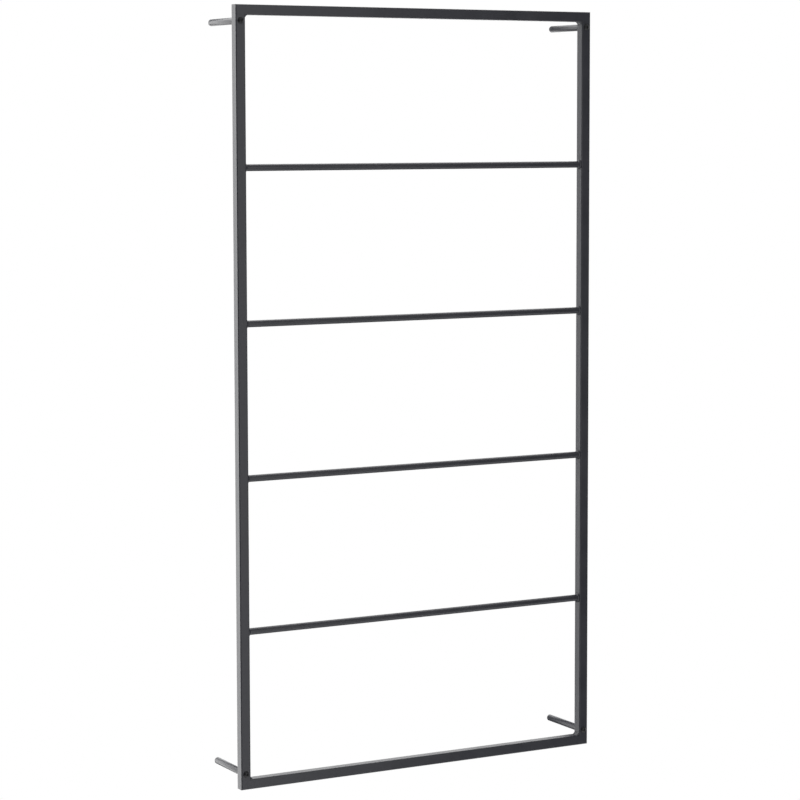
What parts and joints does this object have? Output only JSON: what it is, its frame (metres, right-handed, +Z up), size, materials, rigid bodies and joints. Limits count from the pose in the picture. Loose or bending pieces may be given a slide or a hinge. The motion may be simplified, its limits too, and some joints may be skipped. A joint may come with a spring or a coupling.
{
  "type": "wall-mounted ladder rack",
  "caption": "Tall open rectangular frame of welded square steel tube crossed by evenly spaced round rungs, held off the wall on round stand-off pegs screwed on from the front.",
  "frame": {"origin": "on the wall, at the centre of the rectangle made by the four pegs' wall-end holes", "axes": "+Z up, +Y into the wall (the rack's front faces -Y), +X to the right as seen from the front"},
  "size_m": [0.6, 0.1026, 1.14],
  "materials": {
    "powder_coat": "satin anthracite powder coat with a fine orange-peel texture",
    "blackened_steel": "black zinc-plated screw steel, satin"
  },
  "bodies": {
    "root": {"left_upright": "powder_coat", "right_upright": "powder_coat", "top_rail": "powder_coat", "bottom_rail": "powder_coat", "rung_1": "powder_coat", "rung_2": "powder_coat", "rung_3": "powder_coat", "rung_4": "powder_coat", "corner_weld_top_left": "powder_coat", "corner_weld_top_right": "powder_coat", "corner_weld_bottom_left": "powder_coat", "corner_weld_bottom_right": "powder_coat", "rung_1_weld_left": "powder_coat", "rung_1_weld_right": "powder_coat", "rung_2_weld_left": "powder_coat", "rung_2_weld_right": "powder_coat", "rung_3_weld_left": "powder_coat", "rung_3_weld_right": "powder_coat", "rung_4_weld_left": "powder_coat", "rung_4_weld_right": "powder_coat", "peg_top_left": "powder_coat", "peg_top_right": "powder_coat", "peg_bottom_left": "powder_coat", "peg_bottom_right": "powder_coat", "screw_top_left": "blackened_steel", "screw_top_right": "blackened_steel", "screw_bottom_left": "blackened_steel", "screw_bottom_right": "blackened_steel"}
  },
  "joints": []
}
